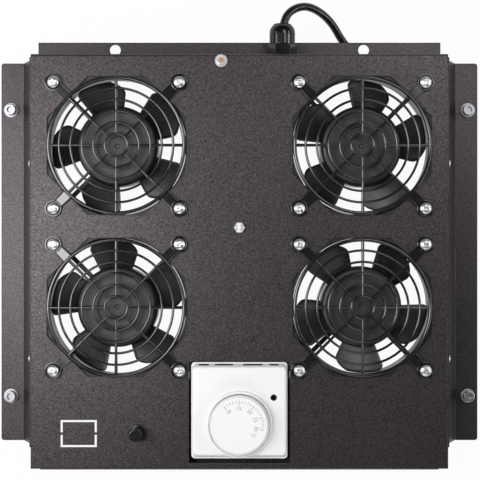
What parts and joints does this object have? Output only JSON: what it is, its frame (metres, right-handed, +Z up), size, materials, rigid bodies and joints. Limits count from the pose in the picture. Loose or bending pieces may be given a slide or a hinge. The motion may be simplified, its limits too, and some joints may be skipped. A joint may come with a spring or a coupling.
{
  "type": "rack fan tray",
  "caption": "Folded steel fan tray for a server rack: axial fans under finger guards, room thermostat with dial, fuse holder, earth stud and mains lead",
  "frame": {"origin": "on the floor at the tips of the mounting screws, under the middle of the tray's plan", "axes": "+Z up out of the panel's face, +X to the right with the thermostat at the front, +Y towards the back edge with the cable gland"},
  "size_m": [0.412, 0.3957, 0.0769],
  "materials": {
    "powder_coat": "fine-textured charcoal powder coat",
    "zinc_steel": "bright zinc plate",
    "bearing_steel": "ground steel",
    "fan_casting": "satin black enamel on a casting",
    "core_steel": "varnished laminations and windings",
    "blade_plastic": "satin black glass-filled plastic",
    "guard_plastic": "glossy black",
    "white_plastic": "smooth white",
    "black_plastic": "smooth black",
    "brass_strip": "plain",
    "fuse_glass": "clear tube",
    "copper_plate": "copper plate",
    "gland_nylon": "satin black nylon",
    "cord_rubber": "smooth black sheath"
  },
  "bodies": {
    "base": {"tray_pan": "powder_coat", "left_rail": "powder_coat", "right_rail": "powder_coat", "rail_rivets": "powder_coat", "mounting_screws": "zinc_steel", "mounting_washers": "zinc_steel", "fan_1_frame": "fan_casting", "fan_1_stator": "core_steel", "finger_guard_1": "guard_plastic", "fan_2_frame": "fan_casting", "fan_2_stator": "core_steel", "finger_guard_2": "guard_plastic", "fan_3_frame": "fan_casting", "fan_3_stator": "core_steel", "finger_guard_3": "guard_plastic", "fan_4_frame": "fan_casting", "fan_4_stator": "core_steel", "finger_guard_4": "guard_plastic", "fan_bearings": "bearing_steel", "guard_screws": "zinc_steel", "guard_nuts": "zinc_steel", "thermostat_bracket": "powder_coat", "thermostat_base": "white_plastic", "thermostat_cover": "white_plastic", "thermostat_bimetal": "brass_strip", "thermostat_switch": "black_plastic", "thermostat_screws": "zinc_steel", "fuse_holder_body": "black_plastic", "fuse_holder_nut": "black_plastic", "fuse_contact": "brass_strip", "earth_stud": "copper_plate", "earth_nut": "zinc_steel", "earth_washer": "zinc_steel", "centre_bolt": "zinc_steel", "centre_nut": "zinc_steel", "centre_washer": "zinc_steel", "terminal_block": "white_plastic", "terminal_screws": "zinc_steel", "gland_body": "gland_nylon", "gland_nut": "gland_nylon", "gland_seal": "cord_rubber", "gland_locknut": "gland_nylon", "supply_cord": "cord_rubber", "cord_coil": "cord_rubber", "cord_tail": "cord_rubber", "mains_plug": "cord_rubber", "plug_pins": "brass_strip"},
    "fan_1": {"fan_1_impeller": "blade_plastic", "fan_1_rotor": "bearing_steel"},
    "fan_2": {"fan_2_impeller": "blade_plastic", "fan_2_rotor": "bearing_steel"},
    "fan_3": {"fan_3_impeller": "blade_plastic", "fan_3_rotor": "bearing_steel"},
    "fan_4": {"fan_4_impeller": "blade_plastic", "fan_4_rotor": "bearing_steel"},
    "dial": {"thermostat_dial": "white_plastic", "thermostat_spindle": "white_plastic"},
    "fuse_carrier": {"fuse_link": "fuse_glass"},
    "fuse_knob": {"fuse_cap": "black_plastic"}
  },
  "joints": [
    {"name": "fan_1_spin", "type": "hinge", "parent": "base", "child": "fan_1", "pos_m": [-0.1025, 0.08925, 0.04], "axis": [0, 0, 1], "continuous": true},
    {"name": "fan_2_spin", "type": "hinge", "parent": "base", "child": "fan_2", "pos_m": [0.1025, 0.08925, 0.04], "axis": [0, 0, 1], "continuous": true},
    {"name": "fan_3_spin", "type": "hinge", "parent": "base", "child": "fan_3", "pos_m": [-0.1025, -0.04575, 0.04], "axis": [0, 0, 1], "continuous": true},
    {"name": "fan_4_spin", "type": "hinge", "parent": "base", "child": "fan_4", "pos_m": [0.1025, -0.04575, 0.04], "axis": [0, 0, 1], "continuous": true},
    {"name": "dial_turn", "type": "hinge", "parent": "base", "child": "dial", "pos_m": [0, -0.14165, 0.07], "axis": [0, 0, 1], "range_deg": [-39, 101]},
    {"name": "fuse_pull", "type": "slide", "parent": "base", "child": "fuse_carrier", "axis": [0, 0, 1], "range_m": [0, 0.03]},
    {"name": "fuse_unlock", "type": "hinge", "parent": "fuse_carrier", "child": "fuse_knob", "pos_m": [-0.0853, -0.15035, 0.07], "axis": [0, 0, 1], "range_deg": [0, 45]}
  ]
}
